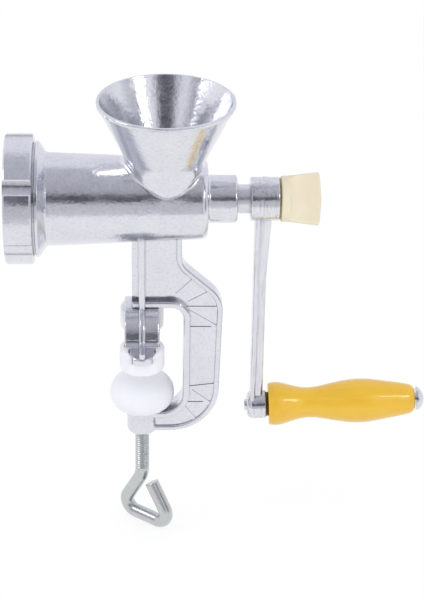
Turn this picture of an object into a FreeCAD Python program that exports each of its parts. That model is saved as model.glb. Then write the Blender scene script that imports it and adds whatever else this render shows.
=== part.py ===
import FreeCAD, Part
import math
import os

V = FreeCAD.Vector

# Fits between pieces
press_gap = 0.05
running_gap = 0.06
face_gap = 0.1
free_gap = 0.3

# How far a cutter runs past the face it cuts
past = 1.0

# Height of the barrel axis over the table top, which is at Z = 0
axis_height = 99.0

# Barrel, along X, with the outlet at -X
barrel_front_r = 27.3
barrel_rear_r = 23.4
barrel_wall = 3.8
barrel_rear_x = 38.5
barrel_rear_round = 4.0
rear_wall = 5.0
rear_boss_r = 14.0
rear_boss_len = 17.0
rear_boss_round = 1.5
shoulder_x = -61.2
shoulder_r = 33.8
shoulder_rim = 1.8
shoulder_cone = 4.2
shoulder_fillet = 1.6
shoulder_edge_r = 0.5
outlet_thread_r = 32.4
outlet_thread_len = 14.6
outlet_edge_r = 0.8

# Hopper, round about a vertical axis
hopper_x = 13.9
hopper_rim_r = 40.0
hopper_rim_z = 161.1
hopper_rim_bead = 0.9
hopper_rim_height = 2.4
hopper_rim_edge_r = 0.7
hopper_bead_edge_r = 0.4
hopper_wall = 2.6
hopper_rim_wall = 1.7
hopper_throat_r = 22.9
hopper_throat_z = 125.0
hopper_throat_round = 12.0
hopper_root_r = 21.2
hopper_blend_r = 3.0

# Clamp frame, in the plane of the barrel axis
neck_left_x = -6.0
neck_right_x = 23.7
neck_corner_z = 57.5
neck_corner_r = 12.0
frame_right_x = 48.7
frame_right_draft = 2.6
frame_shoulder_z = 34.8
frame_shoulder_r = 20.0
frame_bottom_z = -58.6
frame_bottom_r = 30.0
opening_right_x = 24.9
opening_top_z = 30.0
opening_top_r = 7.5
opening_bottom_z = -43.6
opening_bottom_r = 13.0
web_thickness = 7.0
inner_flange = 4.0
inner_flange_width = 16.0
outer_flange = 3.4
outer_flange_width = 10.0
flange_edge_r = 1.2

# Low cast ribs on the web: two ends each, from the opening's upper or lower corner
truss_width = 2.4
truss_height = 0.5
upper_truss = [
    ((-4.0, 7.0), (8.5, 19.6)),
    ((3.0, 1.3), (16.6, 9.1)),
    ((2.0, -2.0), (22.0, -2.1)),
    ((2.0, -3.9), (22.0, -16.6)),
    ((2.0, -16.0), (22.0, -16.1)),
]
lower_truss = [
    ((2.0, 15.3), (21.0, 17.7)),
    ((2.0, 15.5), (18.0, 3.0)),
    ((-1.0, 4.3), (18.0, 4.2)),
    ((-1.0, 3.7), (8.6, -9.0)),
]

# Arched upper jaw, bent over in the plane across the frame; "in" is measured from a foot's tip
jaw_width = 21.0
jaw_wall = 4.0
jaw_lap = 1.0
jaw_shoulder_in = 23.1
jaw_leg_slope = 68.0
jaw_leg_flat = 0.2
jaw_edge_r = 1.2
foot_width = 15.6
foot_reach = 39.0
foot_tongue_len = 14.0
foot_bend_r = 5.0
foot_tip_flat = 0.1
foot_edge_r = 1.2
foot_sink = 5.4
foot_peg_r = 3.5
foot_peg_len = 5.0
foot_peg_in = 10.0
jaw_rib = 3.8
jaw_rib_height = 3.0
jaw_rib_end = 0.8
neck_rib_reach = 11.2
rib_edge_r = 1.6

# Plastic pads under the two feet
pad_r = 13.3
pad_height = 14.2
pad_edge_r = 2.0
pad_in = 14.2

# Clamp screw and the disc on its top
clamp_gap = 21.6
disc_r = 19.6
disc_height = 21.6
disc_corner_r = 10.4
disc_cap = 4.0
screw_r = 4.3
screw_journal_r = 3.0
screw_shoulder_depth = 5.2
retainer_r = 4.1
retainer_inner_r = 2.3
retainer_t = 1.2
retainer_depth = 4.0
retainer_split = 1.6
screw_boss_r = 9.2
screw_boss_bottom_z = -60.5
screw_boss_round = 3.5

# Triangular handle bent from the screw's own rod
handle_neck_z = -93.5
handle_base_z = -124.0
handle_left = -17.0
handle_right = 24.5
handle_tip = 7.6
handle_tip_z = -97.3
handle_neck_bend = 20.0
handle_bend = 7.0
handle_turn = -38.0

# Ring nut at the outlet
ring_r = 38.0
ring_len = 16.3
ring_lip = 2.6
ring_lip_bore_r = 24.0
ring_edge_r = 1.3
ring_notches = 6
ring_notch_width = 10.0
ring_notch_depth = 2.0
ring_notch_turn = 35.5

# Mincing plate, its key, and the knife behind it
plate_r = 27.0
plate_t = 5.0
plate_proud = 0.4
plate_hole_r = 2.5
plate_hole_rows = [10.0, 16.2, 22.2]
plate_hole_spacing = 7.0
plate_centre_r = 4.4
key_r = 1.5
key_len = 7.5
knife_t = 5.5
knife_r = 24.0
knife_blade_t = 3.8
knife_edge_t = 0.8
knife_relief_y = 0.75
knife_bend_r = 17.0
knife_bend_round = 4.0
knife_hub_r = 9.0
knife_blade = 7.5
knife_tip = 3.0
knife_square = 9.0

# Feed screw, its stud and bearings
worm_gap = 0.6
worm_pitch = 27.0
worm_flight_root = 7.5
worm_flight_tip = 3.5
worm_core_front_r = 9.0
worm_core_rear_r = 12.5
worm_collar_r = 15.5
worm_collar_len = 6.0
stud_root_r = 4.5
stud_root_len = 14.0
shaft_r = 8.5
shaft_square = 11.6
shaft_end_inset = 1.0
bush_r = 10.6
bush_inset = 1.0
thrust_washer_r = 16.0
thrust_washer_t = 2.0

# Crank arm
hub_x = 63.1
hub_len = 17.2
hub_r = 12.8
hub_edge = 1.0
hub_parting = 0.35
hub_parting_width = 2.0
crank_len = 141.2
arm_x = 66.4
arm_flange = 2.8
arm_flange_top_y = 15.0
arm_flange_end_y = 12.0
arm_stem_top = 7.2
arm_stem_end = 4.8
arm_stem_y = 6.4
arm_stem_taper = 42.4
arm_edge_r = 0.9
eye_r = 8.6
eye_len = 12.0
eye_edge = 1.0
eye_outer_round = 3.6
eye_overhang = 1.9

# Wooden grip on its pin
grip_tilt = 2.2
grip_len = 90.4
grip_play = 1.0
grip_end_r = 12.6
grip_flare_r = 13.4
grip_neck_r = 9.4
grip_belly_r = 13.6
grip_tip_r = 9.5
grip_nose_r = 6.6
pin_r = 3.5
pin_stub = 1.6
pin_head_r = 7.3
pin_head_len = 5.2
pin_head_rim = 1.2
handle_washer_r = 7.4
handle_washer_t = 1.2

# Thumb screw
knob_r = 13.5
knob_collar = 4.4
knob_len = 23.8
knob_flare_r = 15.7
knob_end_crown = 1.6
knob_edge_r = 0.8
knob_rim_r = 1.2
knob_web = 7.0
knob_scoop_r = 17.0
knob_scoop_x = 14.5
knob_turn = 26.0
knob_washer_r = 12.2
knob_washer_t = 0.8
knob_stud_r = 4.0
knob_stud_grip = 7.0
knob_stud_reach = 20.0
knob_stud_room = 2.0

# Places that follow from the sizes
mouth_x = shoulder_x - outlet_thread_len
bore_front_r = barrel_front_r - barrel_wall
bore_rear_r = barrel_rear_r - barrel_wall
rear_wall_x = barrel_rear_x - rear_wall
rear_boss_end = barrel_rear_x + rear_boss_len
plate_front_x = mouth_x - plate_proud
plate_rear_x = plate_front_x + plate_t
knife_front_x = plate_rear_x + face_gap
knife_rear_x = knife_front_x + knife_t
mouth_recess_r = plate_r + running_gap + face_gap
mouth_recess_x = knife_rear_x + 2 * free_gap
worm_front_x = knife_rear_x
worm_rear_x = rear_wall_x - thrust_washer_t - face_gap
hub_end_x = hub_x + hub_len
shaft_end_x = hub_end_x - shaft_end_inset
knob_x = hub_end_x + knob_washer_t
foot_top_z = pad_height - foot_sink + jaw_wall
foot_taper_start = foot_reach - foot_tongue_len
foot_peg_y = foot_reach - foot_peg_in
jaw_shoulder_y = foot_reach - jaw_shoulder_in
pad_y = foot_reach - pad_in
jaw_top_z = opening_top_z + jaw_lap
disc_top_z = -clamp_gap
disc_bottom_z = disc_top_z - disc_height
screw_shoulder_z = disc_bottom_z + screw_shoulder_depth
journal_end_z = disc_top_z - disc_cap
retainer_z = journal_end_z - retainer_depth
frame_join_z = axis_height - bore_rear_r
crank_axis = V(0, 0, axis_height)
grip_start = V(arm_x - eye_overhang + eye_len, 0, axis_height - crank_len)


def outline(corners, place):
    """Closed wire through (u, v, radius) corners, each rounded by its radius."""
    count = len(corners)
    points = [V(c[0], c[1], 0) for c in corners]
    starts, ends, edges = [], [], []
    for i in range(count):
        here = points[i]
        back = (points[i - 1] - here).normalize()
        ahead = (points[(i + 1) % count] - here).normalize()
        radius = corners[i][2]
        half = back.getAngle(ahead) / 2
        reach = radius / math.tan(half) if radius else 0.0
        starts.append(here + back * reach)
        ends.append(here + ahead * reach)
        if radius:
            inward = (back + ahead).normalize()
            middle = here + inward * (radius / math.sin(half) - radius)
            arc = [place(p.x, p.y) for p in (starts[i], middle, ends[i])]
            edges.append((i, Part.Arc(*arc).toShape()))
    for i in range(count):
        nearest = starts[(i + 1) % count]
        if (nearest - ends[i]).Length > 1e-5:
            line = Part.LineSegment(place(ends[i].x, ends[i].y), place(nearest.x, nearest.y))
            edges.append((i + 0.5, line.toShape()))
    edges.sort(key=lambda pair: pair[0])
    return Part.Wire([edge for _, edge in edges])


def face(corners, place):
    return Part.Face(outline(corners, place))


def shifted(path, distance):
    """Open path of (u, v, radius) corners moved sideways: to its left for a positive distance."""
    points = [V(c[0], c[1], 0) for c in path]
    moved = []
    for i, (u, v, radius) in enumerate(path):
        before = (points[i] - points[i - 1]).normalize() if i else None
        after = (points[i + 1] - points[i]).normalize() if i < len(path) - 1 else None
        first = before or after
        second = after or before
        left_1 = V(-first.y, first.x, 0)
        left_2 = V(-second.y, second.x, 0)
        bisector = (left_1 + left_2).normalize()
        step = distance / bisector.dot(left_1)
        turn = first.cross(second).z
        side = distance if turn > 0 else -distance
        spot = points[i] + bisector * step
        moved.append((spot.x, spot.y, radius - side if radius else 0.0))
    return moved


def band(path, thickness, place):
    """Face between an open path and the same path moved to its left."""
    return face(path + shifted(path, thickness)[::-1], place)


def upright(x, z):
    return V(x, 0, z)


def across(y, z):
    return V(0, y, z)


def turned_x(corners, height=axis_height):
    """Solid of revolution about the X direction at the given height, from (x, r, radius)."""
    flat = face(corners, lambda x, r: V(x, 0, height + r))
    return flat.revolve(V(0, 0, height), V(1, 0, 0), 360)


def turned_z(corners, x=0.0, y=0.0):
    """Solid of revolution about a vertical axis, from (r, z, radius)."""
    flat = face(corners, lambda r, z: V(x + r, y, z))
    return flat.revolve(V(x, y, 0), V(0, 0, 1), 360)


def slab(flat, direction, thickness):
    """The face thickened to both sides alike."""
    flat = flat.copy()
    flat.translate(direction * (-thickness / 2))
    return flat.extrude(direction * thickness)


def rod_x(x_from, x_to, radius, y=0.0, z=axis_height):
    return Part.makeCylinder(radius, x_to - x_from, V(x_from, y, z), V(1, 0, 0))


def rod_z(z_from, z_to, radius, x=0.0, y=0.0):
    return Part.makeCylinder(radius, z_to - z_from, V(x, y, z_from), V(0, 0, 1))


def edges_where(shape, test):
    """Edges on which the test holds at both ends and in the middle."""
    chosen = []
    for edge in shape.Edges:
        low, high = edge.ParameterRange
        spots = [edge.valueAt(low + (high - low) * part) for part in (0.02, 0.5, 0.98)]
        if all(test(spot) for spot in spots):
            chosen.append(edge)
    return chosen


def barrel_radius(x):
    """Outside radius of the tapered barrel at a place along it."""
    front = shoulder_x + shoulder_rim + shoulder_cone
    share = (x - front) / (barrel_rear_x - front)
    return barrel_front_r + (barrel_rear_r - barrel_front_r) * share


def bore_radius(x):
    share = (x - mouth_recess_x) / (rear_wall_x - mouth_recess_x)
    return bore_front_r + (bore_rear_r - bore_front_r) * share


def barrel_and_hopper():
    """The two hollow forms, still solid inside, blended where they meet."""
    cone_end = shoulder_x + shoulder_rim + shoulder_cone
    barrel = turned_x([
        (mouth_x, 0, 0),
        (mouth_x, outlet_thread_r, outlet_edge_r),
        (shoulder_x, outlet_thread_r, 0),
        (shoulder_x, shoulder_r, shoulder_edge_r),
        (shoulder_x + shoulder_rim, shoulder_r, shoulder_edge_r),
        (cone_end, barrel_front_r, shoulder_fillet),
        (barrel_rear_x, barrel_rear_r, barrel_rear_round),
        (barrel_rear_x, rear_boss_r, rear_boss_round),
        (rear_boss_end, rear_boss_r, rear_boss_round),
        (rear_boss_end, 0, 0),
    ])
    rim_low = hopper_rim_z - hopper_rim_height
    hopper = turned_z([
        (0, axis_height, 0),
        (hopper_root_r, axis_height, 0),
        (hopper_throat_r, hopper_throat_z, hopper_throat_round),
        (hopper_rim_r - hopper_rim_bead, rim_low, 0),
        (hopper_rim_r, rim_low, hopper_bead_edge_r),
        (hopper_rim_r, hopper_rim_z, hopper_rim_edge_r),
        (0, hopper_rim_z, 0),
    ], hopper_x)
    joined = barrel.fuse(hopper)

    def on_seam(spot):
        off_axis = math.hypot(spot.y, spot.z - axis_height)
        off_hopper = math.hypot(spot.x - hopper_x, spot.y)
        on_barrel = abs(off_axis - barrel_radius(spot.x)) < 0.05
        return on_barrel and off_hopper < hopper_throat_r + 2 and spot.z > axis_height

    return joined.makeFillet(hopper_blend_r, edges_where(joined, on_seam))


def hollows():
    """Everything cut out of the casting: bore, mouth, hopper, bush seat and screw hole."""
    bore = turned_x([
        (mouth_x - past, 0, 0),
        (mouth_x - past, mouth_recess_r, 0),
        (mouth_recess_x, mouth_recess_r, 0),
        (mouth_recess_x, bore_front_r, 0),
        (rear_wall_x, bore_rear_r, 0),
        (rear_wall_x, bush_r + press_gap, 0),
        (rear_boss_end + past, bush_r + press_gap, 0),
        (rear_boss_end + past, 0, 0),
    ])
    inner_rim_r = hopper_rim_r - hopper_rim_wall
    inner_throat_r = hopper_throat_r - hopper_wall
    inner_slope = (inner_rim_r - inner_throat_r) / (hopper_rim_z - hopper_throat_z)
    funnel = turned_z([
        (0, axis_height, 0),
        (hopper_root_r - hopper_wall, axis_height, 0),
        (inner_throat_r, hopper_throat_z, hopper_throat_round),
        (inner_rim_r + past * inner_slope, hopper_rim_z + past, 0),
        (0, hopper_rim_z + past, 0),
    ], hopper_x)
    screw_hole = rod_z(screw_boss_bottom_z - past, opening_bottom_z + past, screw_r + running_gap)
    return [bore, funnel, screw_hole, plate_key_solid()]


def frame_paths():
    """Outer and inner edge of the clamp frame, from the barrel round to the screw boss."""
    bottom_right = frame_right_x - frame_right_draft
    outer = [
        (neck_right_x, frame_join_z, 0),
        (neck_right_x, neck_corner_z, neck_corner_r),
        (frame_right_x, frame_shoulder_z, frame_shoulder_r),
        (bottom_right, frame_bottom_z, frame_bottom_r),
        (0, frame_bottom_z, 0),
    ]
    inner = [
        (0, opening_bottom_z, 0),
        (opening_right_x, opening_bottom_z, opening_bottom_r),
        (opening_right_x, opening_top_z, opening_top_r),
        (neck_left_x, opening_top_z, 0),
    ]
    return outer, inner


def flange(path, thickness, width):
    """A band along the frame's edge, standing out on both sides, with rounded edges."""
    solid = slab(band(path, -thickness, upright), V(0, 1, 0), width)
    rounded = edges_where(solid, lambda spot: abs(abs(spot.y) - width / 2) < 1e-4)
    return solid.makeFillet(flange_edge_r, rounded)


def truss_rib(corner_z, first, last):
    """One low straight rib on both sides of the web."""
    start = V(opening_right_x + first[0], 0, corner_z + first[1])
    end = V(opening_right_x + last[0], 0, corner_z + last[1])
    along = (end - start).normalize()
    side = V(-along.z, 0, along.x) * (truss_width / 2)
    corners = [start + side, end + side, end - side, start - side, start + side]
    flat = Part.Face(Part.makePolygon(corners))
    return slab(flat, V(0, 1, 0), web_thickness + 2 * truss_height)


def clamp_frame():
    """Web, flanges, low ribs and screw boss."""
    outer, inner = frame_paths()
    web_outline = outer + inner + [(neck_left_x, frame_join_z, 0)]
    web_face = face(web_outline, upright)
    web = slab(web_face, V(0, 1, 0), web_thickness)
    reach = slab(web_face, V(0, 1, 0), web_thickness + 2 * truss_height)
    ribs = [truss_rib(opening_top_z, *ends) for ends in upper_truss]
    ribs += [truss_rib(opening_bottom_z, *ends) for ends in lower_truss]
    boss = turned_z([
        (0, opening_bottom_z, 0),
        (screw_boss_r, opening_bottom_z, 0),
        (screw_boss_r, screw_boss_bottom_z, screw_boss_round),
        (0, screw_boss_bottom_z, 0),
    ])
    pieces = [
        flange(outer, outer_flange, outer_flange_width),
        flange(inner, inner_flange, inner_flange_width),
        boss,
    ]
    return [web] + pieces + [rib.common(reach) for rib in ribs]


def foot_plan(grow):
    """Plan outline of the jaw: wide over the legs, with a round-ended tongue at each foot."""
    half = jaw_width / 2 + grow
    tongue = foot_width / 2 + grow
    taper_end = foot_taper_start + half - tongue
    end = foot_reach + grow
    quarter = [
        (half, foot_taper_start + grow, 0),
        (tongue, taper_end + grow, 0),
        (tongue, end, tongue - foot_tip_flat / 2),
    ]
    right = [(x, -y, r) for x, y, r in quarter[::-1]] + quarter
    left = [(-x, -y, r) for x, y, r in right]
    return face(right + left, lambda x, y: V(x, y, 0))


def jaw_path(reach):
    """Upper side of the bent jaw plate, from the front foot over the arch to the rear foot."""
    drop = jaw_top_z - foot_top_z
    slope = math.radians(jaw_leg_slope)
    foot_corner = jaw_shoulder_y + drop / math.tan(slope)
    turn = math.tan(slope / 2)
    leg_room = drop / math.sin(slope) - foot_bend_r * turn
    shoulder_round = min(leg_room, jaw_shoulder_y) / turn - jaw_leg_flat
    half = [
        (reach, foot_top_z, 0),
        (foot_corner, foot_top_z, foot_bend_r),
        (jaw_shoulder_y, jaw_top_z, shoulder_round),
    ]
    return half + [(-y, z, r) for y, z, r in half[::-1]]


def rounded_sides(solid, radius):
    """The solid with the edges of its two flat sides, those that face along X, rounded."""
    side_x = solid.BoundBox.XMax
    return solid.makeFillet(radius, edges_where(solid, lambda spot: abs(spot.x) > side_x - 0.01))


def upper_jaw():
    """Bent plate with feet and pegs, and the rib that runs over it from foot to foot."""
    bent = slab(band(jaw_path(foot_reach), jaw_wall, across), V(1, 0, 0), jaw_width)
    under_z = foot_top_z - jaw_wall
    plan = foot_plan(0)
    plan.translate(V(0, 0, under_z))
    plate = rounded_sides(bent, jaw_edge_r).common(plan.extrude(V(0, 0, jaw_top_z)))
    taper_end = foot_taper_start + (jaw_width - foot_width) / 2
    plate = plate.makeFillet(foot_edge_r, edges_where(
        plate, lambda spot: abs(spot.z - foot_top_z) < 0.01 and abs(spot.y) > taper_end))
    rib_path = jaw_path(foot_reach - jaw_rib_end)
    crest = shifted(rib_path, -jaw_rib_height)
    buried = shifted(rib_path, jaw_wall / 2)
    rib = rounded_sides(slab(face(crest + buried[::-1], across), V(1, 0, 0), jaw_rib), rib_edge_r)
    tall = Part.makeBox(jaw_rib, 2 * neck_rib_reach, frame_join_z - opening_top_z,
                        V(-jaw_rib / 2, -neck_rib_reach, opening_top_z))
    tall = tall.makeFillet(rib_edge_r, edges_where(
        tall, lambda spot: abs(spot.y) > neck_rib_reach - 0.01 and abs(spot.x) > jaw_rib / 2 - 0.01))
    pegs = [
        rod_z(under_z - foot_peg_len, under_z + jaw_wall / 2, foot_peg_r, 0, side * foot_peg_y)
        for side in (-1, 1)
    ]
    return [plate, rib, tall] + pegs


def body_casting():
    body = barrel_and_hopper()
    body = body.fuse(clamp_frame() + upper_jaw())
    body = body.cut(hollows())
    return body.removeSplitter()


def foot_pad(side):
    """Plastic cap with a seat for the foot and a hole for its peg."""
    y = side * pad_y
    pad = turned_z([
        (0, 0, 0),
        (pad_r, 0, pad_edge_r),
        (pad_r, pad_height, pad_edge_r),
        (0, pad_height, 0),
    ], 0, y)
    seat_z = pad_height - foot_sink
    seat = foot_plan(free_gap)
    seat.translate(V(0, 0, seat_z))
    seat = seat.extrude(V(0, 0, pad_height))
    hole_z = seat_z - foot_peg_len - free_gap
    peg_hole = rod_z(hole_z, seat_z + past, foot_peg_r + press_gap, 0, side * foot_peg_y)
    return pad.cut([seat, peg_hole])


def plate_key_solid():
    """Pin let half into the barrel's mouth and half into the plate's rim."""
    return rod_x(mouth_x, mouth_x + key_len, key_r, 0, axis_height + plate_r)


def mincing_plate():
    plate = rod_x(plate_front_x, plate_rear_x, plate_r)
    holes = [rod_x(plate_front_x - past, plate_rear_x + past, plate_centre_r + running_gap)]
    for row_r in plate_hole_rows:
        count = math.floor(2 * math.pi * row_r / plate_hole_spacing)
        for k in range(count):
            angle = 2 * math.pi * (k + 0.5) / count
            y = row_r * math.cos(angle)
            z = axis_height + row_r * math.sin(angle)
            holes.append(rod_x(plate_front_x - past, plate_rear_x + past, plate_hole_r, y, z))
    notch = rod_x(plate_front_x - past, plate_rear_x + past, key_r + free_gap, 0, axis_height + plate_r)
    return plate.cut(holes + [notch])


def ring_nut():
    front = plate_front_x - ring_lip
    back = front + ring_len
    bore_r = outlet_thread_r + free_gap
    ring = turned_x([
        (front, ring_lip_bore_r, 0),
        (front, ring_r, ring_edge_r),
        (back, ring_r, ring_edge_r),
        (back, bore_r, 0),
        (plate_front_x, bore_r, 0),
        (plate_front_x, ring_lip_bore_r, 0),
    ])
    half = ring_notch_width / 2
    cutter_r = (half ** 2 + ring_notch_depth ** 2) / (2 * ring_notch_depth)
    distance = ring_r - ring_notch_depth + cutter_r
    notches = []
    for k in range(ring_notches):
        angle = math.radians(ring_notch_turn + 360 * k / ring_notches)
        y = -distance * math.cos(angle)
        z = axis_height + distance * math.sin(angle)
        notches.append(rod_x(front - past, back + past, cutter_r, y, z))
    return ring.cut(notches)


def square_bar(x_from, x_to, across_flats):
    half = across_flats / 2
    return Part.makeBox(x_to - x_from, across_flats, across_flats, V(x_from, -half, axis_height - half))


def cross_knife():
    """Four blades on a square-holed hub; the blades' flat side runs on the plate."""
    hub = rod_x(knife_front_x, knife_rear_x, knife_hub_r)
    half = knife_blade / 2
    blade = face([
        (-half, 0, 0),
        (-half, knife_bend_r, knife_bend_round),
        (half - knife_tip, knife_r, 0),
        (half, knife_r, 0),
        (half, 0, 0),
    ], lambda y, z: V(knife_front_x, y, axis_height + z))
    blade = blade.extrude(V(knife_blade_t, 0, 0))
    relief = Part.Face(Part.makePolygon([
        V(knife_front_x + knife_blade_t, half, axis_height),
        V(knife_front_x + knife_blade_t, -knife_relief_y, axis_height),
        V(knife_front_x + knife_edge_t, half, axis_height),
        V(knife_front_x + knife_blade_t, half, axis_height),
    ]))
    blade = blade.cut(relief.extrude(V(0, 0, knife_r)))
    knife = hub
    for k in range(4):
        turned = blade.copy()
        turned.rotate(crank_axis, V(1, 0, 0), 90 * k)
        knife = knife.fuse(turned)
    hole = square_bar(knife_front_x - past, knife_rear_x + past, knife_square + 2 * running_gap)
    return knife.cut(hole).removeSplitter()


def knife_stud():
    """Steel stud: a root in the worm, a square for the knife and a pin that runs in the plate."""
    root = rod_x(worm_front_x, worm_front_x + stud_root_len, stud_root_r)
    square = square_bar(knife_front_x, worm_front_x, knife_square)
    pin = rod_x(plate_front_x, knife_front_x, plate_centre_r)
    return root.fuse([square, pin]).removeSplitter()


def feed_screw():
    """Worm with a helical flight trimmed to the tapered bore, its shaft and the crank's square."""
    length = worm_rear_x - worm_front_x
    root_half = worm_flight_root / 2
    tip_half = worm_flight_tip / 2
    inside = worm_core_front_r / 2
    outside = bore_front_r + worm_gap
    profile = Part.makePolygon([
        V(inside, 0, -root_half),
        V(outside, 0, -tip_half),
        V(outside, 0, tip_half),
        V(inside, 0, root_half),
        V(inside, 0, -root_half),
    ])
    helix = Part.makeHelix(worm_pitch, length, (inside + outside) / 2)
    flight = Part.Wire(helix.Edges).makePipeShell([profile], True, True)
    front_r = bore_radius(worm_front_x) - worm_gap
    rear_r = bore_radius(worm_rear_x) - worm_gap
    envelope = Part.makeCone(front_r, rear_r, length)
    worm = Part.makeCone(worm_core_front_r, worm_core_rear_r, length).fuse(flight.common(envelope))
    worm.rotate(V(0, 0, 0), V(0, 1, 0), 90)
    worm.translate(V(worm_front_x, 0, axis_height))
    worm = worm.fuse([
        rod_x(worm_rear_x - worm_collar_len, worm_rear_x, worm_collar_r),
        rod_x(worm_rear_x - worm_collar_len, hub_x, shaft_r),
        square_bar(hub_x - past, shaft_end_x, shaft_square),
    ])
    stud_hole = rod_x(worm_front_x - past, worm_front_x + stud_root_len, stud_root_r + press_gap)
    thumb_hole = rod_x(hub_end_x - knob_stud_reach - knob_stud_room, hub_end_x, knob_stud_r + running_gap)
    return worm.cut([stud_hole, thumb_hole]).removeSplitter()


def rear_bush():
    sleeve = rod_x(rear_wall_x, rear_boss_end - bush_inset, bush_r)
    return sleeve.cut(rod_x(rear_wall_x - past, rear_boss_end + past, shaft_r + running_gap))


def thrust_washer():
    front_x = rear_wall_x - thrust_washer_t
    washer = rod_x(front_x, rear_wall_x, thrust_washer_r)
    return washer.cut(rod_x(front_x - past, rear_wall_x + past, shaft_r + running_gap))


def on_grip_axis(solid):
    """Move a piece turned about X at the origin onto the leaning axis of the grip."""
    solid.rotate(V(0, 0, 0), V(0, 1, 0), -grip_tilt)
    solid.translate(grip_start)
    return solid


def crank_arm():
    hub = turned_x([
        (hub_x, 0, 0),
        (hub_x, hub_r, hub_edge),
        (hub_end_x, hub_r, hub_edge),
        (hub_end_x, 0, 0),
    ])
    middle = hub_x + hub_len / 2
    parting = rod_x(middle - hub_parting_width / 2, middle + hub_parting_width / 2, hub_r + hub_parting)
    low_z = grip_start.z
    top_z = axis_height - shaft_r
    flange_face = Part.Face(Part.makePolygon([
        V(arm_x, -arm_flange_top_y / 2, top_z),
        V(arm_x, arm_flange_top_y / 2, top_z),
        V(arm_x, arm_flange_end_y / 2, low_z),
        V(arm_x, -arm_flange_end_y / 2, low_z),
        V(arm_x, -arm_flange_top_y / 2, top_z),
    ]))
    arm = flange_face.extrude(V(arm_flange, 0, 0))
    arm = arm.makeFillet(arm_edge_r, edges_where(
        arm, lambda spot: top_z - 0.01 > spot.z > low_z + 0.01))
    stem_x = arm_x + arm_flange / 2
    stem_face = Part.Face(Part.makePolygon([
        V(stem_x, 0, top_z),
        V(arm_x + arm_flange + arm_stem_top, 0, top_z),
        V(arm_x + arm_flange + arm_stem_end, 0, top_z - arm_stem_taper),
        V(arm_x + arm_flange + arm_stem_end, 0, low_z),
        V(stem_x, 0, low_z),
        V(stem_x, 0, top_z),
    ]))
    stem = slab(stem_face, V(0, 1, 0), arm_stem_y)
    stem = stem.makeFillet(arm_edge_r * 2, edges_where(
        stem, lambda spot: spot.x > arm_x + arm_flange + 0.5 and abs(spot.y) > arm_stem_y / 2 - 0.01))
    eye = turned_x([
        (-eye_len, 0, 0),
        (-eye_len, eye_r, eye_outer_round),
        (0, eye_r, eye_edge),
        (0, 0, 0),
    ], 0)
    crank = hub.fuse([parting, arm, stem, on_grip_axis(eye)])
    pin_hole = on_grip_axis(rod_x(-eye_len - arm_flange, arm_flange, pin_r + press_gap, 0, 0))
    hub_hole = square_bar(hub_x - past, hub_end_x + past, shaft_square + 2 * press_gap)
    return crank.cut([hub_hole, pin_hole]).removeSplitter()


def handle_washer():
    washer = rod_x(0, handle_washer_t, handle_washer_r, 0, 0)
    washer = washer.cut(rod_x(-past, handle_washer_t + past, pin_r + press_gap, 0, 0))
    return on_grip_axis(washer)


def handle_grip():
    """Turned handle: a flared end, a waist, a full belly and a rounded nose, bored for its pin."""
    start = handle_washer_t + face_gap
    profile = [
        (0.0, grip_end_r),
        (0.055, grip_flare_r),
        (0.145, 0.55 * grip_flare_r + 0.45 * grip_neck_r),
        (0.26, grip_neck_r),
        (0.42, 0.55 * grip_neck_r + 0.45 * grip_belly_r),
        (0.65, grip_belly_r),
        (0.82, 0.5 * grip_belly_r + 0.5 * grip_tip_r),
        (0.95, grip_tip_r),
        (0.985, 0.6 * grip_tip_r + 0.4 * grip_nose_r),
        (1.0, grip_nose_r),
    ]
    curve = Part.BSplineCurve()
    curve.interpolate([V(start + share * grip_len, 0, radius) for share, radius in profile])
    bore_r = pin_r + running_gap
    first = V(start, 0, grip_end_r)
    last = V(start + grip_len, 0, grip_nose_r)
    ends = [
        Part.LineSegment(last, V(last.x, 0, bore_r)).toShape(),
        Part.LineSegment(V(last.x, 0, bore_r), V(first.x, 0, bore_r)).toShape(),
        Part.LineSegment(V(first.x, 0, bore_r), first).toShape(),
    ]
    flat = Part.Face(Part.Wire([curve.toShape()] + ends))
    return on_grip_axis(flat.revolve(V(0, 0, 0), V(1, 0, 0), 360))


def handle_bolt():
    """Domed pin: a head at the grip's nose and a shank peened at the arm's far side."""
    seat = handle_washer_t + face_gap + grip_len + grip_play
    head = seat + pin_head_len
    stub = -eye_len - pin_stub
    shank = turned_x([
        (stub, 0, 0),
        (stub, pin_r, pin_stub / 2),
        (seat + past, pin_r, 0),
        (seat + past, 0, 0),
    ], 0)
    crown = pin_head_len - pin_head_rim
    dome_r = (crown ** 2 + pin_head_r ** 2) / (2 * crown)
    dome = Part.makeSphere(dome_r, V(head - dome_r, 0, 0))
    cap = rod_x(seat, head + past, pin_head_r, 0, 0).common(dome)
    return on_grip_axis(shank.fuse(cap).removeSplitter())


def thumb_screw_knob():
    """Fishtail knob: a round collar, then a flaring wing scooped out on both sides."""
    end = knob_x + knob_len
    wing_x = knob_x + knob_collar
    knob = turned_x([
        (knob_x, 0, 0),
        (knob_x, knob_r, knob_edge_r),
        (wing_x, knob_r, 0),
        (end - knob_end_crown, knob_flare_r, knob_rim_r),
        (end, 0, 0),
    ])
    scoops = []
    for side in (-1, 1):
        y = side * (knob_web / 2 + knob_scoop_r)
        axis_at = V(knob_x + knob_scoop_x, y, axis_height - 2 * knob_flare_r)
        scoop = Part.makeCylinder(knob_scoop_r, 4 * knob_flare_r, axis_at, V(0, 0, 1))
        limit = Part.makeBox(knob_len, 4 * knob_flare_r, 4 * knob_flare_r,
                             V(wing_x, -2 * knob_flare_r, axis_height - 2 * knob_flare_r))
        scoops.append(scoop.common(limit))
    knob = knob.cut(scoops)
    knob.rotate(crank_axis, V(1, 0, 0), -knob_turn)
    return knob.cut(rod_x(knob_x - past, knob_x + knob_stud_grip, knob_stud_r + press_gap)).removeSplitter()


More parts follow.
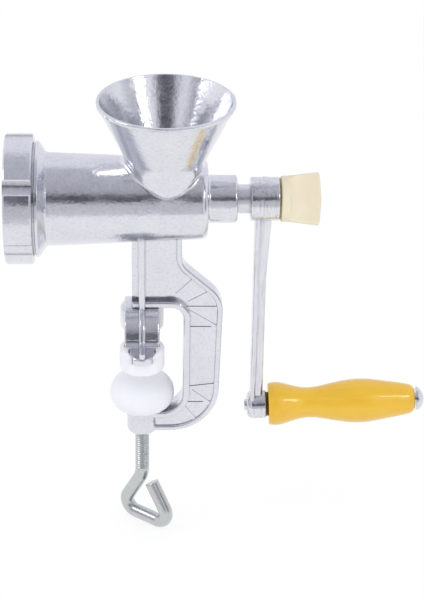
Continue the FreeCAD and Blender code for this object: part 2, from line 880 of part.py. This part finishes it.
def thumb_screw_stud():
    return rod_x(hub_end_x - knob_stud_reach, knob_x + knob_stud_grip, knob_stud_r)


def thumb_screw_washer():
    washer = rod_x(hub_end_x, knob_x, knob_washer_r)
    return washer.cut(rod_x(hub_end_x - past, knob_x + past, knob_stud_r + running_gap))


def clamp_disc():
    """Round-edged disc, closed on top and bored from below, with a groove for the spring ring."""
    disc = turned_z([
        (0, disc_bottom_z, 0),
        (disc_r, disc_bottom_z, disc_corner_r),
        (disc_r, disc_top_z, disc_corner_r),
        (0, disc_top_z, 0),
    ])
    journal = rod_z(disc_bottom_z, journal_end_z + face_gap, screw_journal_r + running_gap)
    socket = rod_z(disc_bottom_z, screw_shoulder_z + face_gap, screw_r + running_gap)
    groove = rod_z(retainer_z - face_gap, retainer_z + retainer_t + face_gap, retainer_r + free_gap)
    return disc.cut([journal, socket, groove])


def disc_retainer():
    """Split spring ring, held in the screw's groove and standing out into the disc's."""
    ring = rod_z(retainer_z, retainer_z + retainer_t, retainer_r)
    hole = rod_z(retainer_z, retainer_z + retainer_t, retainer_inner_r + press_gap)
    split = Part.makeBox(2 * retainer_r, retainer_split, retainer_t, V(0, -retainer_split / 2, retainer_z))
    return ring.cut([hole, split])


def clamp_screw():
    """Journal, threaded length and triangular handle, all of one rod."""
    journal = rod_z(screw_shoulder_z - past, journal_end_z, screw_journal_r)
    groove = rod_z(retainer_z - press_gap, retainer_z + retainer_t + press_gap, screw_journal_r)
    groove = groove.cut(rod_z(retainer_z - past, retainer_z + retainer_t + past, retainer_inner_r))
    path = [
        (0, screw_shoulder_z, 0),
        (0, handle_neck_z, handle_neck_bend),
        (handle_left, handle_base_z, handle_bend),
        (handle_right, handle_base_z, handle_bend),
        (handle_tip, handle_tip_z, 0),
    ]
    bends = outline(path, upright)
    closing = V(handle_tip, 0, handle_tip_z) + V(0, 0, screw_shoulder_z)
    middle = closing * 0.5
    kept = [edge for edge in bends.Edges if (edge.CenterOfMass - middle).Length > 1e-3]
    section = Part.Wire(Part.makeCircle(screw_r, V(0, 0, screw_shoulder_z), V(0, 0, 1)))
    rod = Part.Wire(kept).makePipeShell([section], True, False)
    rod.rotate(V(0, 0, 0), V(0, 0, 1), handle_turn)
    return rod.fuse(journal.cut(groove)).removeSplitter()


PARTS = {
    "body_casting": body_casting,
    "rear_bush": rear_bush,
    "thrust_washer": thrust_washer,
    "plate_key": plate_key_solid,
    "front_foot_pad": lambda: foot_pad(-1),
    "rear_foot_pad": lambda: foot_pad(1),
    "feed_screw": feed_screw,
    "knife_stud": knife_stud,
    "cross_knife": cross_knife,
    "mincing_plate": mincing_plate,
    "ring_nut": ring_nut,
    "crank_arm": crank_arm,
    "handle_bolt": handle_bolt,
    "handle_washer": handle_washer,
    "handle_grip": handle_grip,
    "thumb_screw_knob": thumb_screw_knob,
    "thumb_screw_stud": thumb_screw_stud,
    "thumb_screw_washer": thumb_screw_washer,
    "clamp_disc": clamp_disc,
    "disc_retainer": disc_retainer,
    "clamp_screw": clamp_screw,
}

os.makedirs("parts", exist_ok=True)
for name, make in PARTS.items():
    make().exportStep("parts/" + name + ".step")
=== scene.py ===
import math
import bpy
from mathutils import Matrix, Vector


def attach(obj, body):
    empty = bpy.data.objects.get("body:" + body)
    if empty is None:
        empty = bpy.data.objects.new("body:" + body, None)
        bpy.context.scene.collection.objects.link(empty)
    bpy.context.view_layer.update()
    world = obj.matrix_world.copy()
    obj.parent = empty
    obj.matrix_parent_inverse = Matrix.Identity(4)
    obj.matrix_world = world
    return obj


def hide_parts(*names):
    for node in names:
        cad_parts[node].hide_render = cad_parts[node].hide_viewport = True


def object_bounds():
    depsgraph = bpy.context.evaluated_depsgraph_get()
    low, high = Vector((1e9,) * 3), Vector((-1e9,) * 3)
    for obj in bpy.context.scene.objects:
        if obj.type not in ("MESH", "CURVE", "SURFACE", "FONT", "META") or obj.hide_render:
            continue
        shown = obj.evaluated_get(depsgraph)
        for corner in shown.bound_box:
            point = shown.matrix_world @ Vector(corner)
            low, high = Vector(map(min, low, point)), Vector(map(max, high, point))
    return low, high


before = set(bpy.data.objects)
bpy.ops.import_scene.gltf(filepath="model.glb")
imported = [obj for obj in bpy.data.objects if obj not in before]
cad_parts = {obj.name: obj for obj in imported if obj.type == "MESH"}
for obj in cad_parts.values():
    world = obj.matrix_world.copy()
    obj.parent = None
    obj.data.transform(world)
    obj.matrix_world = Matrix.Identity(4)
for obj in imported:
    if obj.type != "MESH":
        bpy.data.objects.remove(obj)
cad_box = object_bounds()

# Body casting: hopper, barrel, C-frame and arched jaw in one piece.
# It is die-cast aluminium, tumbled and polished, so it mirrors the studio in
# broad soft bands that the slightly rippled casting skin breaks up.


def paint(hex_colour):
    """An sRGB hex colour as linear red, green, blue and alpha."""
    channels = [int(hex_colour[i:i + 2], 16) / 255 for i in (1, 3, 5)]
    return [c / 12.92 if c <= 0.04045 else ((c + 0.055) / 1.055) ** 2.4 for c in channels] + [1.0]


def per_mm(size):
    """Texture scale at which one feature of a pattern is about this many millimetres wide."""
    return 1000.0 / size


def node(tree, kind, values=None, links=None, **settings):
    """Add a shader node with its settings, its input values and its links."""
    made = tree.nodes.new("ShaderNode" + kind)
    for key, value in settings.items():
        setattr(made, key, value)
    for socket, value in (values or {}).items():
        made.inputs[socket].default_value = value
    for socket, source in (links or {}).items():
        tree.links.new(source, made.inputs[socket])
    return made


# Sockets of a colour Mix node: its share, its two colours, and the blend it gives
SHARE, FIRST, SECOND, BLEND = 0, 6, 7, 2


def finish(name, values):
    """A new material: its node tree, its shader with these values set, and the place on the object."""
    material = bpy.data.materials.new(name)
    material.use_nodes = True
    tree = material.node_tree
    shader = tree.nodes["Principled BSDF"]
    for socket, value in values.items():
        shader.inputs[socket].default_value = value
    place = node(tree, "TexCoord").outputs["Object"]
    return material, tree, shader, place


def dress(material, *names):
    """Give CAD nodes a material in place of the plain one they come with."""
    for name in names:
        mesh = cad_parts[name].data
        mesh.materials.clear()
        mesh.materials.append(material)


def cast_aluminium(name, ripple_mm, ripple_depth_mm, gloss, dull, corner_mm=2.5, drag=(1.0, 1.0, 1.0),
                   wear=0.22):
    """Polished die casting: bright grey skin with fine ripples that break reflections up,
    slow hollows from the mould, hazy patches, and painted shade: grey darkening in the corners and gaps that
    ambient occlusion finds.
    Gloss and dull are the roughness of clear and hazy skin; drag draws ripples and wear out along an axis."""
    material, tree, shader, place = finish(name, {"Metallic": 1.0})
    along = node(tree, "Mapping", {"Scale": drag}, {"Vector": place}).outputs["Vector"]
    ripple = node(tree, "TexNoise", {"Scale": per_mm(ripple_mm), "Detail": 3.0, "Roughness": 0.55},
                  {"Vector": along})
    fleck = node(tree, "TexNoise", {"Scale": per_mm(1.6), "Detail": 3.0, "Roughness": 0.7},
                 {"Vector": along})
    hollow = node(tree, "TexNoise", {"Scale": per_mm(9.0), "Detail": 2.0}, {"Vector": place})
    haze = node(tree, "TexNoise", {"Scale": per_mm(13.0), "Detail": 6.0, "Roughness": 0.7},
                {"Vector": place})
    slow = node(tree, "Bump", {"Strength": 1.0, "Distance": 0.0002}, {"Height": hollow.outputs["Fac"]})
    skin = node(tree, "Bump", {"Strength": 1.0, "Distance": ripple_depth_mm / 1000},
                {"Height": ripple.outputs["Fac"], "Normal": slow.outputs["Normal"]})
    # Painted shade: the base colour turns grey where ambient occlusion finds corners and gaps, so they show
    # as dark lines.
    corner = node(tree, "AmbientOcclusion", {"Distance": corner_mm / 1000}, samples=8)
    reach = node(tree, "MapRange", {"From Min": 0.15, "From Max": 0.7, "To Min": 0.0, "To Max": 1.0},
                 {"Value": corner.outputs["AO"]}).outputs["Result"]
    bright = node(tree, "Mix", {FIRST: paint("#CFD1D9"), SECOND: paint("#EEEFF3")},
                  {SHARE: haze.outputs["Fac"]}, data_type="RGBA").outputs[BLEND]
    worn = node(tree, "MapRange", {"From Min": 0.5, "From Max": 0.75, "To Min": 0.0, "To Max": wear},
                {"Value": fleck.outputs["Fac"]}).outputs["Result"]
    marked = node(tree, "Mix", {SECOND: paint("#8A8B92")}, {SHARE: worn, FIRST: bright}, data_type="RGBA")
    corner_painted_shade = node(tree, "Mix", {FIRST: paint("#9C9DA4")}, {SHARE: reach, SECOND: marked.outputs[BLEND]},
                 data_type="RGBA")
    tree.links.new(corner_painted_shade.outputs[BLEND], shader.inputs["Base Color"])
    sheen = node(tree, "MapRange", {"From Min": 0.3, "From Max": 0.7, "To Min": gloss, "To Max": dull},
                 {"Value": haze.outputs["Fac"]})
    tree.links.new(sheen.outputs["Result"], shader.inputs["Roughness"])
    tree.links.new(skin.outputs["Normal"], shader.inputs["Normal"])
    return material


dress(cast_aluminium("polished_die_cast_aluminium", ripple_mm=2.2, ripple_depth_mm=0.11,
                     gloss=0.10, dull=0.25), "body_casting")

# Foot pads: two caps pushed over the pegs under the jaw's feet.
# Injection-moulded polyethylene, milky white, so light goes a little way in and
# its edges look soft; the skin's satin grain is drawn coarse enough to show.


def milky_polyethylene(name):
    """White moulded plastic: clouded a little inside, satin outside."""
    material, tree, shader, place = finish(name, {
        "Roughness": 0.42,
        "IOR": 1.51,
        "Subsurface Weight": 0.35,
        "Subsurface Radius": (0.004, 0.004, 0.0045),
        "Subsurface Scale": 1.0,
    })
    cloud = node(tree, "TexNoise", {"Scale": per_mm(9.0), "Detail": 3.0}, {"Vector": place})
    grain = node(tree, "TexNoise", {"Scale": per_mm(0.7), "Detail": 2.0}, {"Vector": place})
    skin = node(tree, "Bump", {"Strength": 0.3, "Distance": 0.00006}, {"Height": grain.outputs["Fac"]})
    tint = node(tree, "Mix", {FIRST: paint("#EEF0F5"), SECOND: paint("#F6F7FA")},
                {SHARE: cloud.outputs["Fac"]}, data_type="RGBA")
    tree.links.new(tint.outputs[BLEND], shader.inputs["Base Color"])
    tree.links.new(skin.outputs["Normal"], shader.inputs["Normal"])
    return material


dress(milky_polyethylene("moulded_polyethylene"), "front_foot_pad", "rear_foot_pad")

# Rear bush and thrust washer: turned bronze, pressed in the barrel's rear wall.
# A warm, slightly oiled tone with turning rings round the shaft's axis, which are
# drawn coarser than they are so that they show.
bronze, tree, shader, place = finish("turned_bronze", {"Metallic": 1.0})
rings = node(tree, "TexWave", {"Scale": per_mm(3.0), "Distortion": 1.5, "Detail": 2.0}, {"Vector": place},
             wave_type="RINGS", rings_direction="X")
stain = node(tree, "TexNoise", {"Scale": per_mm(4.0), "Detail": 4.0}, {"Vector": place})
tint = node(tree, "Mix", {FIRST: paint("#9C7A45"), SECOND: paint("#D0A868")}, {SHARE: stain.outputs["Fac"]},
            data_type="RGBA")
tree.links.new(tint.outputs[BLEND], shader.inputs["Base Color"])
sheen = node(tree, "MapRange", {"From Min": 0.0, "From Max": 1.0, "To Min": 0.28, "To Max": 0.42},
             {"Value": rings.outputs["Fac"]})
tree.links.new(sheen.outputs["Result"], shader.inputs["Roughness"])
dress(bronze, "rear_bush", "thrust_washer")

# Feed screw: a cast aluminium worm, rough from the mould inside its flights.
# Its shaft shows between boss and hub and carries the crank on a square.
dress(cast_aluminium("rough_cast_aluminium", ripple_mm=1.6, ripple_depth_mm=0.12,
                     gloss=0.24, dull=0.38), "feed_screw")

# Knife, its stud, plate and small steel pins: hardened steel, ground flat.
# Straight grinding scratches run one way and streak the reflections; they are
# drawn coarser than they are so that they show.
ground_steel, tree, shader, place = finish("ground_steel", {"Metallic": 1.0})
streak_place = node(tree, "Mapping", {"Scale": (1.0, 0.06, 1.0)}, {"Vector": place})
streaks = node(tree, "TexNoise", {"Scale": per_mm(0.5), "Detail": 3.0},
               {"Vector": streak_place.outputs["Vector"]})
scratch = node(tree, "Bump", {"Strength": 0.35, "Distance": 0.00005}, {"Height": streaks.outputs["Fac"]})
tint = node(tree, "Mix", {FIRST: paint("#9EA2A6"), SECOND: paint("#C6C9CC")}, {SHARE: streaks.outputs["Fac"]},
            data_type="RGBA")
tree.links.new(tint.outputs[BLEND], shader.inputs["Base Color"])
sheen = node(tree, "MapRange", {"From Min": 0.3, "From Max": 0.7, "To Min": 0.22, "To Max": 0.36},
             {"Value": streaks.outputs["Fac"]})
tree.links.new(sheen.outputs["Result"], shader.inputs["Roughness"])
tree.links.new(scratch.outputs["Normal"], shader.inputs["Normal"])
dress(ground_steel, "knife_stud", "cross_knife", "mincing_plate", "plate_key",
      "disc_retainer", "thumb_screw_stud")

# Ring nut: cast aluminium like the body, with six finger notches.
# It is only tumbled, not mopped, so the bands in it are a little softer.
dress(cast_aluminium("tumbled_die_cast_aluminium", ripple_mm=2.4, ripple_depth_mm=0.12,
                     gloss=0.13, dull=0.28), "ring_nut")

# Crank arm: a cast T-section arm with a hub and an eye.
# Mopping along its length leaves long grey streaks, and the hub shows
# the mould's parting bead round its middle.
# Its corners reach further, so painted shade darkens the T-section's inner corner into a grey line.
dress(cast_aluminium("buffed_cast_crank", ripple_mm=2.0, ripple_depth_mm=0.2,
                     gloss=0.10, dull=0.24, corner_mm=6.0, drag=(1.0, 1.0, 0.05), wear=0.65), "crank_arm")

# Grip pin: bright-plated steel with a domed head, peened in the arm's eye.
# Almost a mirror, with light handling marks.
bright_steel, tree, shader, place = finish("bright_plated_steel",
                                           {"Metallic": 1.0, "Base Color": paint("#DADCE0")})
marks = node(tree, "TexNoise", {"Scale": per_mm(1.4), "Detail": 4.0}, {"Vector": place})
sheen = node(tree, "MapRange", {"From Min": 0.35, "From Max": 0.7, "To Min": 0.08, "To Max": 0.20},
             {"Value": marks.outputs["Fac"]})
tree.links.new(sheen.outputs["Result"], shader.inputs["Roughness"])
dress(bright_steel, "handle_bolt")

# Washer between eye and grip: a plain stamped steel ring on the pin.
# Its dark brown is painted: the grip's yellow reflected in it and the shade in the narrow gap between eye and
# grip, so it hardly shines.
painted_brown_washer, tree, shader, place = finish("washer_painted_reflection", {"Metallic": 1.0})
patches = node(tree, "TexNoise", {"Scale": per_mm(1.8), "Detail": 5.0, "Roughness": 0.7}, {"Vector": place})
# Painted reflection and shade: dark browns stand in for the yellow grip seen in the washer and the shade of
# the gap.
tint = node(tree, "Mix", {FIRST: paint("#21170B"), SECOND: paint("#7A6248")}, {SHARE: patches.outputs["Fac"]},
            data_type="RGBA")
tree.links.new(tint.outputs[BLEND], shader.inputs["Base Color"])
sheen = node(tree, "MapRange", {"From Min": 0.3, "From Max": 0.7, "To Min": 0.55, "To Max": 0.3},
             {"Value": patches.outputs["Fac"]})
tree.links.new(sheen.outputs["Result"], shader.inputs["Roughness"])
dress(painted_brown_washer, "handle_washer")

# Grip: a turned beech handle that spins on its pin.
# Dipped in yellow lacquer: a deep even colour, faint grain along its length
# and a hard clear gloss with small sharp highlights.
lacquered, tree, shader, place = finish("yellow_lacquered_beech", {
    "Roughness": 0.34,
    "IOR": 1.5,
    "Coat Weight": 0.85,
    "Coat Roughness": 0.07,
    "Coat IOR": 1.5,
})
grain_place = node(tree, "Mapping", {"Scale": (0.07, 1.0, 1.0)}, {"Vector": place})
grain = node(tree, "TexNoise", {"Scale": per_mm(1.5), "Detail": 5.0, "Roughness": 0.6, "Distortion": 0.4},
             {"Vector": grain_place.outputs["Vector"]})
depth = node(tree, "TexNoise", {"Scale": per_mm(24.0), "Detail": 2.0}, {"Vector": place})
tone = node(tree, "Math", {1: 0.55}, {0: grain.outputs["Fac"], 2: depth.outputs["Fac"]},
            operation="MULTIPLY_ADD")
shade = node(tree, "MapRange", {"From Min": 0.45, "From Max": 1.1, "To Min": 0.0, "To Max": 1.0},
             {"Value": tone.outputs["Value"]}).outputs["Result"]
tint = node(tree, "Mix", {FIRST: paint("#E7B213"), SECOND: paint("#F0C222")}, {SHARE: shade},
            data_type="RGBA")
tree.links.new(tint.outputs[BLEND], shader.inputs["Base Color"])
pores = node(tree, "Bump", {"Strength": 0.15, "Distance": 0.0001}, {"Height": grain.outputs["Fac"]})
tree.links.new(pores.outputs["Normal"], shader.inputs["Normal"])
dress(lacquered, "handle_grip")

# Thumb screw: a cream nylon fishtail knob moulded on a steel stud, with a thin
# yellow-passivated washer under it. Light goes a little way into the nylon, and
# its moulded grain is drawn coarse enough to show.
nylon, tree, shader, place = finish("moulded_cream_nylon", {
    "Roughness": 0.45,
    "IOR": 1.53,
    "Subsurface Weight": 0.25,
    "Subsurface Radius": (0.004, 0.003, 0.002),
    "Subsurface Scale": 1.0,
})
cloud = node(tree, "TexNoise", {"Scale": per_mm(12.0), "Detail": 3.0}, {"Vector": place})
tint = node(tree, "Mix", {FIRST: paint("#E9DEBF"), SECOND: paint("#F0E8D2")}, {SHARE: cloud.outputs["Fac"]},
            data_type="RGBA")
tree.links.new(tint.outputs[BLEND], shader.inputs["Base Color"])
grain = node(tree, "TexNoise", {"Scale": per_mm(0.8), "Detail": 2.0}, {"Vector": place})
skin = node(tree, "Bump", {"Strength": 0.25, "Distance": 0.00006}, {"Height": grain.outputs["Fac"]})
tree.links.new(skin.outputs["Normal"], shader.inputs["Normal"])
dress(nylon, "thumb_screw_knob")
yellow_zinc, tree, shader, place = finish("yellow_passivated_zinc", {"Metallic": 1.0})
bloom = node(tree, "TexNoise", {"Scale": per_mm(2.5), "Detail": 4.0}, {"Vector": place})
tint = node(tree, "Mix", {FIRST: paint("#7A7148"), SECOND: paint("#C9BE8C")}, {SHARE: bloom.outputs["Fac"]},
            data_type="RGBA")
tree.links.new(tint.outputs[BLEND], shader.inputs["Base Color"])
sheen = node(tree, "MapRange", {"From Min": 0.3, "From Max": 0.7, "To Min": 0.25, "To Max": 0.4},
             {"Value": bloom.outputs["Fac"]})
tree.links.new(sheen.outputs["Result"], shader.inputs["Roughness"])
dress(yellow_zinc, "thumb_screw_washer")

# Clamp screw: one zinc-plated steel rod, rolled with a coarse thread, turned
# down at the top for the disc and bent to a triangle that the hand turns.
# Sizes in millimetres; Z = 0 is the table's top.
ROD_R = 4.3
JOURNAL_R = 3.0
JOURNAL_TOP = -25.6
JOURNAL_CHAMFER = 0.5
SHOULDER_Z = -38.0
THREAD_END = -88.0
THREAD_PITCH = 1.5
THREAD_DEPTH = 0.62
THREAD_STEEPNESS = 1.6
THREAD_CREST = 0.25
RINGS_PER_TURN = 12
BENDS = [((0.0, -93.5), 20.0), ((-17.0, -124.0), 7.0), ((24.5, -124.0), 7.0)]
ROD_TIP = (7.6, -97.3)
HANDLE_TURN = math.radians(-38.0)
BEND_STEP = 0.9
SIDES = 56


def rod_route(step):
    """Centre line from the rod's shoulder to its free tip: (u, z) points no further apart than the step."""
    corners = [Vector((0.0, SHOULDER_Z))] + [Vector(spot) for spot, _ in BENDS] + [Vector(ROD_TIP)]
    route = [corners[0]]
    for before, here, after, (_, radius) in zip(corners, corners[1:], corners[2:], BENDS):
        back = (before - here).normalized()
        ahead = (after - here).normalized()
        half = back.angle(ahead) / 2
        centre = here + (back + ahead).normalized() * (radius / math.sin(half))
        arm = here + back * (radius / math.tan(half)) - centre
        turn = math.copysign(math.pi - 2 * half, arm.cross(-back))
        count = math.ceil(radius * abs(turn) / step)
        route += [centre + Matrix.Rotation(turn * k / count, 2) @ arm for k in range(count + 1)]
    route.append(corners[-1])
    points = [route[0]]
    for start, end in zip(route, route[1:]):
        count = math.ceil((end - start).length / step)
        points += [start.lerp(end, k / count) for k in range(1, count + 1)]
    return points


def thread_cut(z, angle):
    """Depth of the thread's groove at a height and an angle: flat crests and roots with straight flanks
    between them, which run out at the lower end."""
    phase = (z / THREAD_PITCH - angle / (2 * math.pi)) % 1.0
    groove = min(1.0, max(0.0, THREAD_STEEPNESS * (1 - abs(2 * phase - 1)) - THREAD_CREST))
    run_out = min(1.0, max(0.0, (z - THREAD_END) / THREAD_PITCH))
    return THREAD_DEPTH * groove * run_out


def rod_mesh():
    """Skin of the rod: rings of points along its line, then the journal on top, closed at both ends."""
    line = [p for p in rod_route(THREAD_PITCH / RINGS_PER_TURN) if p.y > THREAD_END]
    line += [p for p in rod_route(BEND_STEP) if p.y <= THREAD_END]
    angles = [2 * math.pi * k / SIDES for k in range(SIDES)]
    rings = []
    for radius, z in ((JOURNAL_R - JOURNAL_CHAMFER, JOURNAL_TOP), (JOURNAL_R, JOURNAL_TOP - JOURNAL_CHAMFER),
                      (JOURNAL_R, SHOULDER_Z)):
        rings.append([(radius * math.cos(a), radius * math.sin(a), z) for a in angles])
    for index, point in enumerate(line):
        ahead = (line[min(index + 1, len(line) - 1)] - line[max(index - 1, 0)]).normalized()
        side = Vector((-ahead.y, ahead.x))
        ring = []
        for a in angles:
            radius = ROD_R - thread_cut(point.y, a)
            spot = point + side * (radius * math.cos(a))
            ring.append((spot.x, radius * math.sin(a), spot.y))
        rings.append(ring)
    faces = [tuple(range(SIDES))]
    for first in range(0, (len(rings) - 1) * SIDES, SIDES):
        for k in range(SIDES):
            across = (k + 1) % SIDES
            faces.append((first + k, first + SIDES + k, first + SIDES + across, first + across))
    faces.append(tuple(reversed(range((len(rings) - 1) * SIDES, len(rings) * SIDES))))
    turned = Matrix.Scale(0.001, 4) @ Matrix.Rotation(HANDLE_TURN, 4, "Z")
    mesh = bpy.data.meshes.new("clamp_rod")
    mesh.from_pydata([turned @ Vector(spot) for ring in rings for spot in ring], [], faces)
    mesh.polygons.foreach_set("use_smooth", [len(p.vertices) == 4 for p in mesh.polygons])
    return mesh


# Bright zinc on drawn rod: a faint spangle, and drawing lines made coarse enough to show
zinc, tree, shader, place = finish("zinc_plated_steel", {"Metallic": 1.0})
spangle = node(tree, "TexNoise", {"Scale": per_mm(3.0), "Detail": 5.0, "Roughness": 0.6}, {"Vector": place})
draw = node(tree, "Mapping", {"Scale": (1.0, 1.0, 0.1)}, {"Vector": place})
lines = node(tree, "TexNoise", {"Scale": per_mm(0.8), "Detail": 3.0}, {"Vector": draw.outputs["Vector"]})
drawn = node(tree, "Bump", {"Strength": 0.4, "Distance": 0.00006}, {"Height": lines.outputs["Fac"]})
tint = node(tree, "Mix", {FIRST: paint("#B4B9B8"), SECOND: paint("#D6D9DA")}, {SHARE: spangle.outputs["Fac"]},
            data_type="RGBA")
tree.links.new(tint.outputs[BLEND], shader.inputs["Base Color"])
sheen = node(tree, "MapRange", {"From Min": 0.3, "From Max": 0.7, "To Min": 0.18, "To Max": 0.34},
             {"Value": spangle.outputs["Fac"]})
tree.links.new(sheen.outputs["Result"], shader.inputs["Roughness"])
tree.links.new(drawn.outputs["Normal"], shader.inputs["Normal"])
clamp_rod = bpy.data.objects.new("clamp_rod", rod_mesh())
clamp_rod.data.materials.append(zinc)
bpy.context.scene.collection.objects.link(clamp_rod)
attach(clamp_rod, "clamp_screw")
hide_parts("clamp_screw")

# Clamp disc: a thick round-edged presser on the screw's top.
# Moulded in the same milky plastic as the foot pads.
dress(milky_polyethylene("moulded_polyethylene_disc"), "clamp_disc")

# Studio floor: a sheet of white paper just under the lowest point of the part.
# It glows a little to the lens and in reflections, and keeps the part's shadow.
FLOOR_SIZE = 1.6
FLOOR_GAP = 0.0004
GLOW_SHARE = 0.8
GLOW_STRENGTH = 1.04
lowest = cad_box[0][2]
bpy.ops.mesh.primitive_plane_add(size=FLOOR_SIZE, location=(0.04, 0.1, lowest - FLOOR_GAP))
floor = bpy.context.object
floor.name = "floor"
sweep = bpy.data.materials.new("white_paper_sweep")
sweep.use_nodes = True
tree = sweep.node_tree
tree.nodes.clear()
path = node(tree, "LightPath")
seen = node(tree, "Math", links={0: path.outputs["Is Camera Ray"], 1: path.outputs["Is Glossy Ray"]},
            operation="MAXIMUM")
seen = node(tree, "Math", links={0: seen.outputs["Value"], 1: path.outputs["Is Transmission Ray"]},
            operation="MAXIMUM")
share = node(tree, "Math", {1: GLOW_SHARE}, {0: seen.outputs["Value"]}, operation="MULTIPLY")
paper = node(tree, "BsdfDiffuse", {"Color": paint("#F4F4F6")})
glow = node(tree, "Emission", {"Color": paint("#FFFFFF"), "Strength": GLOW_STRENGTH})
mixed = node(tree, "MixShader", links={0: share.outputs["Value"], 1: paper.outputs["BSDF"],
                                       2: glow.outputs["Emission"]})
node(tree, "OutputMaterial", links={"Surface": mixed.outputs["Shader"]})
floor.data.materials.append(sweep)

# Studio light: a white room with soft bright and dark bands that the metal mirrors,
# which matt surfaces see as one even white, and three soft lamps: one for the
# spot on the barrel, one for the grip's highlights and a fill from the front.
world = bpy.data.worlds.new("studio")
world.use_nodes = True
bpy.context.scene.world = world
tree = world.node_tree
tree.nodes.clear()
way = node(tree, "TexCoord").outputs["Generated"]
parts = node(tree, "SeparateXYZ", links={"Vector": way})
front = node(tree, "Math", {1: -1.0}, {0: parts.outputs["Y"]}, operation="MULTIPLY").outputs["Value"]
aside = node(tree, "Math", links={0: parts.outputs["X"]}, operation="ABSOLUTE").outputs["Value"]


def ring_of_light(across, towards, stops):
    """Colours round a full turn, from the angle of two parts of the direction."""
    angle = node(tree, "Math", links={0: across, 1: towards}, operation="ARCTAN2").outputs["Value"]
    turn = node(tree, "MapRange", {"From Min": -math.pi, "From Max": math.pi, "To Min": 0.0, "To Max": 1.0},
                {"Value": angle}).outputs["Result"]
    ramp = node(tree, "ValToRGB", links={"Fac": turn})
    ends = ramp.color_ramp.elements
    while len(ends) < len(stops):
        ends.new(0.5)
    for end, (degrees, colour) in zip(ends, stops):
        end.position = (degrees + 180) / 360
        end.color = paint(colour)
    return ramp.outputs["Color"]


# Over the part from front to back: degrees up from the front horizon
overhead = ring_of_light(parts.outputs["Z"], front, [
    (-180, "#F2F2F8"), (-100, "#FFFFFF"), (-40, "#F4F4F8"), (-12, "#DADAE0"),
    (14, "#CDCDD4"), (18, "#62626A"), (30, "#56565E"), (42, "#B0B0B8"),
    (70, "#C2C2CB"), (104, "#C9CAD3"), (116, "#F0F0F8"), (180, "#F2F2F8"),
])
# Round the part: degrees to the right of the front, with a softbox on each side
around = ring_of_light(parts.outputs["X"], front, [
    (-180, "#F4F4FB"), (-150, "#F8F8FF"), (-110, "#FFFFFF"), (-84, "#F4F4FC"),
    (-64, "#A0A1AA"), (-38, "#F4F4FA"), (-29, "#E8E8F0"), (-12, "#80818A"), (0, "#72737C"),
    (10, "#84858E"), (26, "#F0F0F8"), (35, "#FFFFFF"), (50, "#80818A"), (80, "#DADBE4"),
    (92, "#FFFFFF"), (112, "#F0F0F8"), (136, "#F4F4FB"), (180, "#F4F4FB"),
])
to_side = node(tree, "MapRange", {"From Min": 0.12, "From Max": 0.35, "To Min": 0.0, "To Max": 1.0},
               {"Value": aside}).outputs["Result"]
below_top = node(tree, "MapRange", {"From Min": 0.75, "From Max": 0.92, "To Min": 1.0, "To Max": 0.0},
                 {"Value": parts.outputs["Z"]}).outputs["Result"]
share = node(tree, "Math", links={0: to_side, 1: below_top}, operation="MULTIPLY").outputs["Value"]
strips = node(tree, "Mix", links={SHARE: share, FIRST: overhead, SECOND: around}, data_type="RGBA")
path = node(tree, "LightPath")
soft = node(tree, "Mix", {SECOND: paint("#F2F2F6")},
            {SHARE: path.outputs["Is Diffuse Ray"], FIRST: strips.outputs[BLEND]}, data_type="RGBA")
white = node(tree, "Mix", {SECOND: paint("#FFFFFF")},
             {SHARE: path.outputs["Is Camera Ray"], FIRST: soft.outputs[BLEND]}, data_type="RGBA")
sky = node(tree, "Background", {"Strength": 1.0}, {"Color": white.outputs[BLEND]})
node(tree, "OutputWorld", links={"Surface": sky.outputs["Background"]})


def lamp(name, size, watts, place, aim, mirrored=True):
    """Square soft lamp at a place, turned to a point, and seen in reflections if it is mirrored."""
    light = bpy.data.lights.new(name, "AREA")
    light.size = size
    light.energy = watts
    holder = bpy.data.objects.new(name, light)
    holder.location = place
    holder.rotation_euler = (Vector(aim) - Vector(place)).to_track_quat("-Z", "Y").to_euler()
    holder.visible_glossy = mirrored
    bpy.context.scene.collection.objects.link(holder)


lamp("left_softbox", size=0.26, watts=0.9, place=(-0.66, -0.13, 0.60), aim=(-0.02, -0.01, 0.13))
lamp("side_lamp", size=0.13, watts=0.3, place=(0.45, -0.35, 0.40), aim=(0.12, 0.0, -0.03))
lamp("front_fill", size=0.8, watts=1.6, place=(0.0, -1.2, 0.1), aim=(0.0, 0.0, 0.0), mirrored=False)

# Camera: a long lens from the front, well above the barrel.
# It is level but for a slight roll, and everything is in focus.
ELEVATION = math.radians(29.15)
AZIMUTH = math.radians(-2.37)
ROLL = math.radians(-1.04)
DISTANCE = 1.176
FOCAL_MM = 117.6
SENSOR_MM = 36.0
TARGET = Vector((0.04198, 0.0, 0.03142))
reach = math.cos(ELEVATION)
backward = Vector((reach * math.sin(AZIMUTH), -reach * math.cos(AZIMUTH), math.sin(ELEVATION)))
level = Vector((math.cos(AZIMUTH), math.sin(AZIMUTH), 0.0))
upward = backward.cross(level)
right = level * math.cos(ROLL) - upward * math.sin(ROLL)
up = upward * math.cos(ROLL) + level * math.sin(ROLL)
lens = bpy.data.cameras.new("camera")
lens.lens = FOCAL_MM
lens.sensor_width = SENSOR_MM
camera = bpy.data.objects.new("camera", lens)
facing = Matrix((right, up, backward)).transposed().to_4x4()
camera.matrix_world = Matrix.Translation(TARGET + backward * DISTANCE) @ facing
bpy.context.scene.collection.objects.link(camera)
bpy.context.scene.camera = camera
bpy.context.scene.view_settings.view_transform = "Standard"
